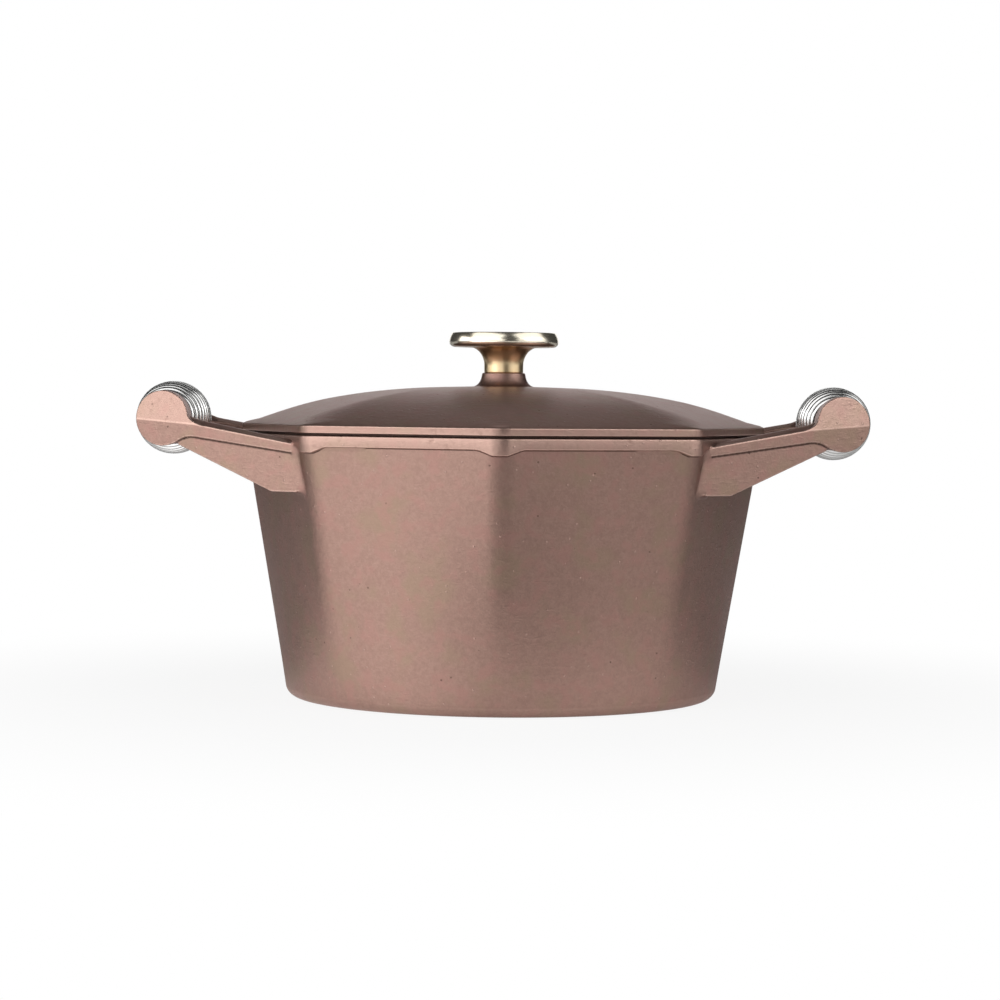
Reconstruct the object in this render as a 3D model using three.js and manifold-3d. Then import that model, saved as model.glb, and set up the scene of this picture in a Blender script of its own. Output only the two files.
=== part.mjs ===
// Octagonal cast-iron dutch oven with coil grips and a brass knob. Millimetres, +Z up, origin under the pot.
import * as THREE from 'three';
import { mergeVertices } from 'three/addons/utils/BufferGeometryUtils.js';
import Module from 'manifold-3d';

// Pot
const rimAcrossCorners = 260.5;
const potHeight = 129.6;
const baseDiameter = 212;
const baseEdgeRadius = 6.5;
const wallThickness = 5;
const floorThickness = 6;
const floorCornerRadius = 12;
const wallCornerRadius = 18; // rounding of the body's corners just below the rim band
const bandHeight = 5.7;
const bandProud = 0.6;
const bandCornerRadius = 7;
const bandCornerDip = 2.7; // the band's lower edge hangs lower at the corners

// Lid
const seatGap = 0.3;
const lidShadowGap = 0.8; // open line between the lid's edge and the rim
const lidReliefWidth = 2;
const lidEdgeHeight = 3.8;
const lidCrownRise = 19.2;
const lidDomePower = 2.7; // flat in the middle, steepest at the edge
const lidThickness = 5;
const lidLipDepth = 4;
const lidLipThickness = 4;
const lidLipClearance = 1.3;
const bossHeight = 6.8;
const bossTopDiameter = 21.4;
const bossFootDiameter = 29;

// Knob and its screw
const knobHeight = 19.5;
const knobDiameter = 54.4;
const knobDiscThickness = 7.1;
const knobNeckDiameter = 19.4;
const knobNeckHeight = 4.4;
const screwDiameter = 6;
const screwGrip = 11; // length of the shank inside the knob
const screwHeadDiameter = 12;
const screwHeadHeight = 3.4;
const washerDiameter = 17;
const washerThickness = 1.2;
const washerPadDepth = 1; // flat cut into the lid's underside for the washer
const washerPadMargin = 2;
const holeClearance = 0.3;

// Grips and arms
const fingerGap = 16.55; // between the coil and the pot's nearest corner
const gripRise = 7; // grip axis above the rim
const gripSpan = 87; // over the outer faces of the arms, at the grip axes
const armEndDiameter = 26.8;
const armEndThickness = 10.5; // at the grip axis
const armEndLean = 9; // degrees, the arm end's face above the crease
const armCreaseDrop = 1.4; // crease below the grip axis
const armSplay = 28.5; // degrees in plan
const armThickness = 10;
const armCrown = 2.2; // rounded top above the arm's side face
const armRootDrop = 4.3; // arm's upper edge below the rim, at the pot
const armRootHeight = 4.1; // side face at the pot
const armNeckDrop = 2.7; // arm's upper edge below the grip axis, at the neck
const armNeckHeight = 6;
const armNeckLength = 3.3; // from the round end to the neck
const gussetThickness = 8;
const gussetDepth = 18.6; // below the arm's side face, at the pot
const gussetFoot = 11.4; // level stretch of the gusset's lower edge
const wireDiameter = 3.2;
const coilTurns = 12;
const coilMiddleDiameter = 35;
const coilEndDiameter = 26;
const coilBendRadius = 2.2;
const barSocketDepth = 3;
const coilBarClearance = 0.35;

// Facets
const sides = 8;
const cornerSteps = 3;
const roundSides = 32;
const coilStepsPerTurn = 8;
const wireSides = 5;
const roundShare = 0.98; // corner rounding that turns the octagon into a circle

const halfSide = Math.PI / sides;
const rimFlat = (rimAcrossCorners / 2) * Math.cos(halfSide);
const baseRadius = baseDiameter / 2;
const wire = wireDiameter / 2;
const degrees = Math.PI / 180;

const wasm = await Module();
wasm.setup();

// Ring of points round the Z axis: an octagon with a corner on each axis, rounded by cornerRadius
function octagonRing(flat, cornerRadius, height, cornerDip = 0) {
  const centre = (flat - cornerRadius) / Math.cos(halfSide);
  const ring = [];
  for (let side = 0; side < sides; side += 1) {
    const middle = side * 2 * halfSide;
    for (let step = 0; step <= cornerSteps; step += 1) {
      const share = (2 * step) / cornerSteps - 1;
      const angle = middle + share * halfSide;
      const x = centre * Math.cos(middle) + cornerRadius * Math.cos(angle);
      const y = centre * Math.sin(middle) + cornerRadius * Math.sin(angle);
      ring.push(new THREE.Vector3(x, y, height - cornerDip * (1 - Math.abs(share))));
    }
  }
  return ring;
}

function circleRing(radius, height) {
  return octagonRing(radius, radius * roundShare, height);
}

function middleOf(ring) {
  const sum = ring.reduce((total, point) => total.add(point), new THREE.Vector3());
  return sum.divideScalar(ring.length);
}

// Closed skin over a list of rings; the ends get flat caps unless the last ring runs on into the first
function loft(rings, { endless = false, startCentre, endCentre } = {}) {
  const count = rings[0].length;
  const points = rings.flat();
  const index = [];
  const spans = endless ? rings.length : rings.length - 1;
  for (let span = 0; span < spans; span += 1) {
    const low = span * count;
    const high = ((span + 1) % rings.length) * count;
    for (let at = 0; at < count; at += 1) {
      const next = (at + 1) % count;
      index.push(low + at, low + next, high + next, low + at, high + next, high + at);
    }
  }
  if (!endless) {
    const last = (rings.length - 1) * count;
    const start = points.push(startCentre ?? middleOf(rings[0])) - 1;
    const end = points.push(endCentre ?? middleOf(rings.at(-1))) - 1;
    for (let at = 0; at < count; at += 1) {
      const next = (at + 1) % count;
      index.push(start, next, at, end, last + at, last + next);
    }
  }
  return new THREE.BufferGeometry().setFromPoints(points).setIndex(index);
}

// Turned solid: the outline lists radius and height from the axis back to the axis
function turned(outline) {
  const profile = outline.map(([radius, height]) => new THREE.Vector2(radius, height));
  return new THREE.LatheGeometry(profile, roundSides).rotateX(Math.PI / 2);
}

// Copy of a geometry under a matrix, with its faces turned back out if the matrix mirrors it
function placed(geometry, matrix) {
  const copy = geometry.clone().applyMatrix4(matrix);
  if (matrix.determinant() < 0) {
    const index = copy.index.array;
    for (let at = 0; at < index.length; at += 3) {
      [index[at], index[at + 1]] = [index[at + 1], index[at]];
    }
  }
  return copy;
}

// Geometry with shared vertices, whatever class it came from
function joined(geometry) {
  const bare = geometry.clone();
  bare.deleteAttribute('normal');
  bare.deleteAttribute('uv');
  return mergeVertices(bare, 1e-5);
}

function solid(geometry) {
  const merged = joined(geometry);
  const mesh = new wasm.Mesh({
    numProp: 3,
    vertProperties: new Float32Array(merged.attributes.position.array),
    triVerts: new Uint32Array(merged.index.array),
  });
  return new wasm.Manifold(mesh);
}

function geometryOf(body) {
  const { vertProperties, triVerts } = body.getMesh();
  const geometry = new THREE.BufferGeometry();
  geometry.setAttribute('position', new THREE.BufferAttribute(new Float32Array(vertProperties), 3));
  geometry.setIndex(new THREE.BufferAttribute(new Uint32Array(triVerts), 1));
  return geometry;
}

const finishes = {
  iron: new THREE.MeshStandardMaterial({ color: 0x86695d, roughness: 0.55, metalness: 0.7 }),
  brass: new THREE.MeshStandardMaterial({ color: 0xc8ab6c, roughness: 0.15, metalness: 1 }),
  steel: new THREE.MeshStandardMaterial({ color: 0xc9c9c7, roughness: 0.2, metalness: 1 }),
  plainSteel: new THREE.MeshStandardMaterial({ color: 0x6f6c69, roughness: 0.45, metalness: 1 }),
};

const oven = new THREE.Group();

function addPiece(name, geometry, finish, parent = oven) {
  geometry.computeVertexNormals();
  const mesh = new THREE.Mesh(geometry, finishes[finish]);
  mesh.name = name;
  parent.add(mesh);
  return mesh;
}

// Pot wall: straight from the round base to the rounded octagon under the rim
const wallTopFlat = rimFlat - bandProud;

function wallRing(height, inset = 0, ringHeight = height, cornerDip = 0) {
  const share = height / potHeight;
  const flat = THREE.MathUtils.lerp(baseRadius, wallTopFlat, share);
  const corner = THREE.MathUtils.lerp(baseRadius * roundShare, wallCornerRadius, share);
  return octagonRing(flat - inset, Math.max(corner - inset, bandProud), ringHeight, cornerDip);
}

// Rounded edge between a flat disc and the wall, as rings from the disc outwards
function floorRings(radius, bend, floor) {
  const stops = [0, 30, 60, 90];
  return stops.map((stop) => {
    const out = radius - bend + bend * Math.sin(stop * degrees);
    return circleRing(out, floor + bend - bend * Math.cos(stop * degrees));
  });
}

function potOutside() {
  const bandFoot = potHeight - bandHeight;
  return loft([
    ...floorRings(baseRadius, baseEdgeRadius, 0).slice(0, -1),
    wallRing(baseEdgeRadius),
    wallRing(potHeight / 2),
    wallRing(bandFoot, 0, bandFoot, bandCornerDip),
    octagonRing(rimFlat, bandCornerRadius, bandFoot + bandProud),
    octagonRing(rimFlat, bandCornerRadius, potHeight),
  ]);
}

function potInside() {
  const inside = baseRadius - wallThickness;
  const wallStart = floorThickness + floorCornerRadius;
  return loft([
    ...floorRings(inside, floorCornerRadius, floorThickness).slice(0, -1),
    wallRing(wallStart, wallThickness),
    wallRing(potHeight / 2, wallThickness),
    wallRing(potHeight, wallThickness),
    wallRing(potHeight, wallThickness, potHeight + bandHeight),
  ]);
}

// Grip layout, for the arm at +X and +Y; the others mirror it
const gripReach = rimAcrossCorners / 2 + fingerGap + coilMiddleDiameter / 2;
const gripHeight = potHeight + gripRise;
const armEndFace = gripSpan / 2;
const armEndBack = armEndFace - armEndThickness;
const armSlope = Math.tan(armSplay * degrees);
const sideCos = Math.cos(halfSide);
const sideSin = Math.sin(halfSide);
const armLength = (gripReach * sideCos + armEndFace * sideSin - rimFlat) / (sideCos - armSlope * sideSin);
const armRootSink = 2 * wallThickness; // the arm runs this far into the wall before the cavity trims it
const armEndRadius = armEndDiameter / 2;
const armNeckSetback = armEndRadius + armNeckLength;
const rootTop = potHeight - armRootDrop;
const neckTop = gripHeight - armNeckDrop;
const creaseSlope = (armNeckDrop - armCreaseDrop) / armNeckSetback;
const sunkTop = rootTop - ((neckTop - rootTop) * armRootSink) / (armLength - armNeckSetback);
const coilEndReach = coilEndDiameter / 2 - wire;
const barRadius = coilEndReach * Math.cos(Math.PI / coilStepsPerTurn) - wire - coilBarClearance;

// Crease along the arm end's outer face, at a distance back from the grip axis
const creaseHeight = (back) => gripHeight - armCreaseDrop - creaseSlope * back;

// Section of the arm at a distance back from the grip axis: side faces, and a rounded crown above them
function armSection(back, lowZ, edgeZ, crown) {
  const faceY = armEndFace + armSlope * back;
  const across = new THREE.Vector3(-armSlope, -1, 0).normalize();
  const outline = [[0, lowZ], [1, lowZ], [1, edgeZ], [0.75, edgeZ + 0.75 * crown],
    [0.5, edgeZ + crown], [0.25, edgeZ + 0.75 * crown], [0, edgeZ]];
  return outline.map(([share, height]) => new THREE.Vector3(gripReach - back, faceY, height)
    .addScaledVector(across, share * armThickness));
}

function armBar() {
  const endLow = gripHeight - 0.9 * armEndRadius;
  const neckLow = neckTop - armNeckHeight;
  const stations = [
    [0.1 * armEndRadius, endLow, creaseHeight(0.1 * armEndRadius), 0.4 * armEndRadius],
    [0.5 * armEndRadius, endLow, creaseHeight(0.5 * armEndRadius), 0.4 * armEndRadius],
    [0.75 * armEndRadius, (endLow + neckLow) / 2, creaseHeight(0.75 * armEndRadius), 0.35 * armEndRadius],
    [armEndRadius, neckLow, creaseHeight(armEndRadius), 0.3 * armEndRadius],
    [armNeckSetback, neckLow, neckTop, armCrown],
    [armLength, rootTop - armRootHeight, rootTop, armCrown],
    [armLength + armRootSink, sunkTop - armRootHeight, sunkTop, armCrown],
  ];
  return loft(stations.map((station) => armSection(...station)));
}

// Tapering plate below the arm, set back from the arm's side faces
function gusset() {
  const foot = rootTop - armRootHeight - gussetDepth;
  const buried = armCrown; // its upper edge lies inside the arm
  const outline = new THREE.Shape([
    [-0.6 * armEndRadius, gripHeight - 0.95 * armEndRadius],
    [-0.3 * armEndRadius, gripHeight],
    [-armNeckSetback, neckTop - armNeckHeight + buried],
    [-armLength, rootTop - armRootHeight + buried],
    [-armLength - armRootSink, rootTop - armRootHeight],
    [-armLength - armRootSink, foot],
    [-armLength + gussetFoot, foot],
  ].map(([along, height]) => new THREE.Vector2(along, height)));
  const plate = new THREE.ExtrudeGeometry(outline, { depth: gussetThickness, bevelEnabled: false });
  const inset = (armThickness - gussetThickness) / 2;
  const along = new THREE.Vector3(1, -armSlope, 0);
  const across = new THREE.Vector3(-armSlope, -1, 0).normalize();
  const frame = new THREE.Matrix4().makeBasis(along, new THREE.Vector3(0, 0, 1), across);
  const corner = new THREE.Vector3(gripReach, armEndFace, 0).addScaledVector(across, inset);
  return plate.applyMatrix4(frame.setPosition(corner));
}

// Round end of the arm: its outer face runs on from the arm's, and leans back above the crease
function armEnd() {
  const ringAt = (depthAt) => Array.from({ length: roundSides }, (_, at) => {
    const angle = (-2 * Math.PI * at) / roundSides;
    const up = armEndRadius * Math.sin(angle);
    const out = armEndRadius * Math.cos(angle);
    return new THREE.Vector3(gripReach + out, depthAt(out, gripHeight + up), gripHeight + up);
  });
  const leaned = (out, height) => armEndFace - armSlope * out
    - Math.max(height - creaseHeight(-out), 0) * Math.tan(armEndLean * degrees);
  const endCentre = new THREE.Vector3(gripReach, armEndFace, creaseHeight(0));
  return loft([ringAt(() => armEndBack), ringAt(leaned)], { endCentre });
}

// Cylinder along a grip axis, centred between the arms
function gripCylinder(radius, length, side) {
  const cylinder = new THREE.CylinderGeometry(radius, radius, length, roundSides);
  return cylinder.translate(side * gripReach, 0, gripHeight);
}

const gripSides = { right: 1, left: -1 };
const armMirrors = [[1, 1], [-1, 1], [-1, -1], [1, -1]];

function potCasting() {
  const armPieces = [armBar(), gusset(), armEnd()];
  let casting = solid(potOutside());
  for (const [mirrorX, mirrorY] of armMirrors) {
    const mirror = new THREE.Matrix4().makeScale(mirrorX, mirrorY, 1);
    for (const piece of armPieces) casting = casting.add(solid(placed(joined(piece), mirror)));
  }
  casting = casting.subtract(solid(potInside()));
  const gripSpaceRadius = coilMiddleDiameter / 2 + wireDiameter;
  const socketLength = 2 * (armEndBack + barSocketDepth);
  for (const side of Object.values(gripSides)) {
    casting = casting.subtract(solid(gripCylinder(gripSpaceRadius, 2 * armEndBack, side)));
    casting = casting.subtract(solid(gripCylinder(barRadius + holeClearance, socketLength, side)));
  }
  return geometryOf(casting);
}

addPiece('pot_casting', potCasting(), 'iron');

// Barrel coil: one wire, wound round the grip axis, with a short straight tang at each end
function coilPath() {
  const reach = armEndBack - seatGap - wireDiameter - coilBendRadius;
  const steps = coilTurns * coilStepsPerTurn;
  const endReach = coilEndDiameter / 2 - wire;
  const middleReach = coilMiddleDiameter / 2 - wire;
  const path = [];
  const station = (radius, angle, y) => ({
    point: new THREE.Vector3(radius * Math.cos(angle), y, radius * Math.sin(angle)),
    out: new THREE.Vector3(Math.cos(angle), 0, Math.sin(angle)),
  });
  for (let step = 0; step <= steps; step += 1) {
    const along = (2 * step) / steps - 1;
    const radius = THREE.MathUtils.lerp(middleReach, endReach, along * along);
    path.push(station(radius, (2 * Math.PI * step) / coilStepsPerTurn - Math.PI / 2, along * reach));
  }
  return [...tang(path[0], -1).reverse(), ...path, ...tang(path.at(-1), 1)];
}

// Bend from the last turn into the straight end that stands square on the arm end
function tang({ point, out }, direction) {
  const round = new THREE.Vector3(-out.z, 0, out.x).multiplyScalar(direction);
  const axis = new THREE.Vector3(0, direction, 0);
  const stops = [30, 60, 90];
  const bend = stops.map((stop) => point.clone()
    .addScaledVector(round, coilBendRadius * Math.sin(stop * degrees))
    .addScaledVector(axis, coilBendRadius * (1 - Math.cos(stop * degrees))));
  const end = bend.at(-1).clone().addScaledVector(axis, wireDiameter);
  return [...bend, end].map((spot) => ({ point: spot, out }));
}

function coil(path) {
  const rings = path.map(({ point, out }, at) => {
    const before = path[Math.max(at - 1, 0)].point;
    const after = path[Math.min(at + 1, path.length - 1)].point;
    const along = after.clone().sub(before).normalize();
    if (at === 0 || at === path.length - 1) along.set(0, 1, 0);
    const across = new THREE.Vector3().crossVectors(along, out).normalize();
    const up = new THREE.Vector3().crossVectors(across, along);
    return Array.from({ length: wireSides }, (_, side) => {
      const angle = (2 * Math.PI * side) / wireSides;
      return point.clone()
        .addScaledVector(up, wire * Math.cos(angle))
        .addScaledVector(across, wire * Math.sin(angle));
    });
  });
  return loft(rings);
}

// Least distance between stretches of the wire that lie over half a turn apart, less the wire itself
function leastGap(path) {
  const fine = path.slice(1).flatMap(({ point }, at) => [0, 0.25, 0.5, 0.75]
    .map((share) => path[at].point.clone().lerp(point, share)));
  const apart = 2 * coilStepsPerTurn;
  let least = Infinity;
  for (let one = 0; one < fine.length; one += 1) {
    for (let other = one + apart; other < fine.length; other += 1) {
      least = Math.min(least, fine[one].distanceTo(fine[other]));
    }
  }
  return least - wireDiameter;
}

const windings = coilPath();
console.log(`least gap of a grip coil to itself: ${leastGap(windings).toFixed(2)} mm`);

for (const [name, side] of Object.entries(gripSides)) {
  const grip = new THREE.Group();
  grip.position.set(side * gripReach, 0, gripHeight);
  grip.rotation.z = side > 0 ? 0 : Math.PI;
  oven.add(grip);
  const barLength = 2 * (armEndBack + barSocketDepth - seatGap);
  const bar = new THREE.CylinderGeometry(barRadius, barRadius, barLength, roundSides);
  addPiece(`${name}_grip_bar`, bar, 'plainSteel', grip);
  addPiece(`${name}_grip_coil`, coil(windings), 'steel', grip);
}

// Lid: shallow dome of eight facets, crisp at the rim and fading towards the middle
const lidEdgeBottom = potHeight + lidShadowGap;
const lidEdgeTop = lidEdgeBottom + lidEdgeHeight;
const crownTop = lidEdgeTop + lidCrownRise;
const bossTop = crownTop + bossHeight;
const padHeight = crownTop - lidThickness - washerPadDepth;
const screwHole = screwDiameter / 2 + holeClearance;

function domeHeight(flat) {
  return crownTop - lidCrownRise * (flat / rimFlat) ** lidDomePower;
}

function domeRing(flat, drop = 0) {
  return octagonRing(flat, (bandCornerRadius * flat) / rimFlat, domeHeight(flat) - drop);
}

function lidCasting() {
  const bossFoot = bossFootDiameter / 2;
  const bossRadius = bossTopDiameter / 2;
  const lipOutside = rimFlat - bandProud - wallThickness - lidLipClearance;
  const lipInside = lipOutside - lidLipThickness;
  const lipCorner = Math.max(wallCornerRadius - wallThickness - lidLipClearance, bandProud);
  const lipInsideCorner = Math.max(lipCorner - lidLipThickness, bandProud);
  const lipBottom = potHeight - lidLipDepth;
  const seat = potHeight + seatGap;
  const padRadius = washerDiameter / 2 + washerPadMargin;
  const reliefFlat = rimFlat - lidReliefWidth;
  const underside = [0.3, 0.5, 0.68, 0.82].map((share) => domeRing(share * rimFlat, lidThickness));
  const outside = [0.94, 0.86, 0.76, 0.64, 0.5, 0.35].map((share) => domeRing(share * rimFlat));
  return loft([
    circleRing(screwHole, padHeight),
    circleRing(padRadius, padHeight),
    ...underside,
    octagonRing(lipInside, lipInsideCorner, domeHeight(lipInside) - lidThickness),
    octagonRing(lipInside, lipInsideCorner, lipBottom),
    octagonRing(lipOutside, lipCorner, lipBottom),
    octagonRing(lipOutside, lipCorner, seat),
    octagonRing(reliefFlat, bandCornerRadius, seat),
    octagonRing(reliefFlat, bandCornerRadius, lidEdgeBottom),
    octagonRing(rimFlat, bandCornerRadius, lidEdgeBottom),
    octagonRing(rimFlat, bandCornerRadius, lidEdgeTop),
    ...outside,
    circleRing(1.6 * bossFoot, domeHeight(1.6 * bossFoot)),
    circleRing(bossFoot, crownTop + 0.1 * bossHeight),
    circleRing(bossRadius + 0.45 * (bossFoot - bossRadius), crownTop + 0.3 * bossHeight),
    circleRing(bossRadius + 0.15 * (bossFoot - bossRadius), crownTop + 0.55 * bossHeight),
    circleRing(bossRadius, bossTop),
    circleRing(screwHole, bossTop),
  ], { endless: true });
}

const lid = new THREE.Group();
oven.add(lid);
addPiece('lid_casting', lidCasting(), 'iron', lid);

// Knob: waisted neck that flares into a thick round-edged disc, drilled from below
const knobBottom = bossTop + seatGap;
const knobTop = knobBottom + knobHeight;

function lidKnob() {
  const neck = knobNeckDiameter / 2;
  const rim = knobDiameter / 2;
  const discBottom = knobTop - knobDiscThickness;
  const neckTop = knobBottom + knobNeckHeight;
  const flareRise = discBottom - neckTop;
  const flareOut = 0.3 * (rim - neck);
  const flare = [0, 25, 50, 75].map((stop) => [
    neck + flareOut * (1 - Math.cos(stop * degrees)),
    neckTop + flareRise * Math.sin(stop * degrees),
  ]);
  const edge = [-90, -50, 0, 45, 90].map((stop) => [
    rim - (knobDiscThickness / 2) * (1 - Math.cos(stop * degrees)),
    knobTop - (knobDiscThickness / 2) * (1 - Math.sin(stop * degrees)),
  ]);
  const holeTop = knobBottom + screwGrip + holeClearance;
  return turned([[0, holeTop], [screwHole, holeTop], [screwHole, knobBottom], [neck, knobBottom],
    ...flare, ...edge, [0, knobTop]]);
}

function knobWasher() {
  const top = padHeight - seatGap;
  const outside = washerDiameter / 2;
  const ringOutline = [[screwHole, top - washerThickness], [outside, top - washerThickness],
    [outside, top], [screwHole, top], [screwHole, top - washerThickness]];
  return turned(ringOutline);
}

function knobScrew() {
  const headTop = padHeight - 2 * seatGap - washerThickness;
  const head = screwHeadDiameter / 2;
  const shank = screwDiameter / 2;
  return turned([[0, headTop - screwHeadHeight], [0.6 * head, headTop - screwHeadHeight],
    [head, headTop - 0.4 * screwHeadHeight], [head, headTop], [shank, headTop],
    [shank, knobBottom + screwGrip], [0, knobBottom + screwGrip]]);
}

addPiece('lid_knob', lidKnob(), 'brass', lid);
addPiece('knob_washer', knobWasher(), 'plainSteel', lid);
addPiece('knob_screw', knobScrew(), 'plainSteel', lid);

export default oven;
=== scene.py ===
import bmesh
import bpy
import math
from mathutils import Matrix, Vector


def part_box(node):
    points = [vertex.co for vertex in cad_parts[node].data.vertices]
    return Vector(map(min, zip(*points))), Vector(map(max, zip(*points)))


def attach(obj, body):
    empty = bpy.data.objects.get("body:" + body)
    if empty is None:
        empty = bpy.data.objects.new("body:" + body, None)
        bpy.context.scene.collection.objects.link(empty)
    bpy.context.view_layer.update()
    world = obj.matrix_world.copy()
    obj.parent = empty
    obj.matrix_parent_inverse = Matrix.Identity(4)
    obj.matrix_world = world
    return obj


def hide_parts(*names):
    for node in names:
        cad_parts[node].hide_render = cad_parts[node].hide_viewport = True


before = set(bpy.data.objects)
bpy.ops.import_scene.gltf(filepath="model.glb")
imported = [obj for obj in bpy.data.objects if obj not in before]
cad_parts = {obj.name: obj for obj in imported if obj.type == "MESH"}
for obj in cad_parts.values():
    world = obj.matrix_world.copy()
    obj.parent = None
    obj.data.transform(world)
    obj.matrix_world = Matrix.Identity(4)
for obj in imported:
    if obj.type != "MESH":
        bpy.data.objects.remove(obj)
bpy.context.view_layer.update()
mm = 0.001
halfSide = math.pi / 8                      # half the turn from one octagon corner to the next
print("frame loaded:", len(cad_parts), "nodes")


# camera at the photograph's viewing angle
cameraSettings = {
    "place": (13.6, -1404.0, 148.6),        # millimetres
    "turn": 0.01055,                        # radians, to the left
    "tilt": 0.0367,                         # downwards
    "roll": 0.0098,
    "lens": 101.7,
}


def makeCamera(settings):
    data = bpy.data.cameras.new("camera")
    data.lens = settings["lens"]
    data.sensor_width = 36
    camera = bpy.data.objects.new("camera", data)
    bpy.context.scene.collection.objects.link(camera)
    turn = Matrix.Rotation(settings["turn"], 4, "Z")
    tilt = Matrix.Rotation(math.pi / 2 - settings["tilt"], 4, "X")
    roll = Matrix.Rotation(settings["roll"], 4, "Z")
    camera.matrix_world = Matrix.Translation(Vector(settings["place"]) * mm) @ turn @ tilt @ roll
    bpy.context.scene.camera = camera


makeCamera(cameraSettings)
print("camera placed")


class Wire:                                 # a shader socket that can be used in sums
    def __init__(self, tree, socket):
        self.tree = tree
        self.socket = socket

    def node(self, kind, settings=None, sockets=None, output=0):
        made = self.tree.nodes.new(kind)
        for name, value in (settings or {}).items():
            if name == "stops":
                for stop in made.color_ramp.elements[1:]:
                    made.color_ramp.elements.remove(stop)
                made.color_ramp.elements[0].position = value[0][0]
                made.color_ramp.elements[0].color = value[0][1]
                for position, shade in value[1:]:
                    made.color_ramp.elements.new(position).color = shade
            else:
                setattr(made, name, value)
        for name, value in (sockets or {}).items():
            if isinstance(value, Wire):
                self.tree.links.new(value.socket, made.inputs[name])
            else:
                made.inputs[name].default_value = value
        return Wire(self.tree, made.outputs[output] if made.outputs else None)

    def sum(self, operation, first, second=0.0):
        return self.node("ShaderNodeMath", {"operation": operation}, {0: first, 1: second})

    def __add__(self, other):
        return self.sum("ADD", self, other)

    def __sub__(self, other):
        return self.sum("SUBTRACT", self, other)

    def __rsub__(self, other):
        return self.sum("SUBTRACT", other, self)

    def __mul__(self, other):
        return self.sum("MULTIPLY", self, other)

    def __pow__(self, other):
        return self.sum("POWER", self, other)

    __radd__ = __add__
    __rmul__ = __mul__

    def between(self, low, high):           # 0 below low, 1 above high, smooth in the middle
        return self.node("ShaderNodeMapRange", {"interpolation_type": "SMOOTHSTEP"},
                         {"Value": self, "From Min": low, "From Max": high})

    def blend(self, low, high):             # colours or wires, mixed by this value
        return self.node("ShaderNodeMix", {"data_type": "RGBA"}, {0: self, 6: low, 7: high}, 2)

    def noise(self, scale, detail=2.0, rough=0.5):
        return self.node("ShaderNodeTexNoise", {}, {"Vector": self, "Scale": scale, "Detail": detail,
                                                    "Roughness": rough})

    def cells(self, scale, output=0):
        return self.node("ShaderNodeTexVoronoi", {}, {"Vector": self, "Scale": scale}, output)

    def part(self, name):                   # one number of a vector
        made = self.tree.nodes.new("ShaderNodeSeparateXYZ")
        self.tree.links.new(self.socket, made.inputs[0])
        return Wire(self.tree, made.outputs[name])


def newFinish(name):                        # empty material, its shader node and Object coordinates
    material = bpy.data.materials.new(name)
    material.use_nodes = True
    tree = material.node_tree
    shader = tree.nodes["Principled BSDF"]
    coords = tree.nodes.new("ShaderNodeTexCoord")
    return material, shader, Wire(tree, coords.outputs["Object"])


def feed(shader, name, wire):
    wire.tree.links.new(wire.socket, shader.inputs[name])


def metal(shader, height, strength, depth):  # full metal, its skin raised by the height
    bump = height.node("ShaderNodeBump", {}, {"Strength": strength, "Distance": depth, "Height": height})
    feed(shader, "Normal", bump)
    shader.inputs["Metallic"].default_value = 1.0


def colour(red, green, blue):
    return (red, green, blue, 1.0)


ironLook = {
    "dark": colour(0.262, 0.163, 0.134),
    "middle": colour(0.284, 0.178, 0.146),
    "light": colour(0.308, 0.195, 0.161),
    "olive": colour(0.264, 0.192, 0.134),
    "pink": colour(0.316, 0.172, 0.148),
    "pit": colour(0.120, 0.076, 0.064),
    "speck": colour(0.400, 0.270, 0.230),
    "wearAndHighlight": colour(0.535, 0.362, 0.304),    # lighter along the outer edges: painted highlight and wear
    "paintedShade": colour(0.060, 0.040, 0.035),   # painted shade in the hollow corners
    "grazing": colour(1.0, 0.93, 0.93),
    "roughness": 0.42,
    "grainScale": 900,                      # grains per metre of the sand mould
    "pebbleScale": 380,
    "mottleScale": 120,
    "cloudScale": 46,
    "pitScale": 230,
    "speckScale": 290,
    "markScale": 190,                       # flow marks, flattened in height
    "markStretch": (1.0, 1.0, 3.4),
    "bumpDepth": 0.0001,
}


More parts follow.
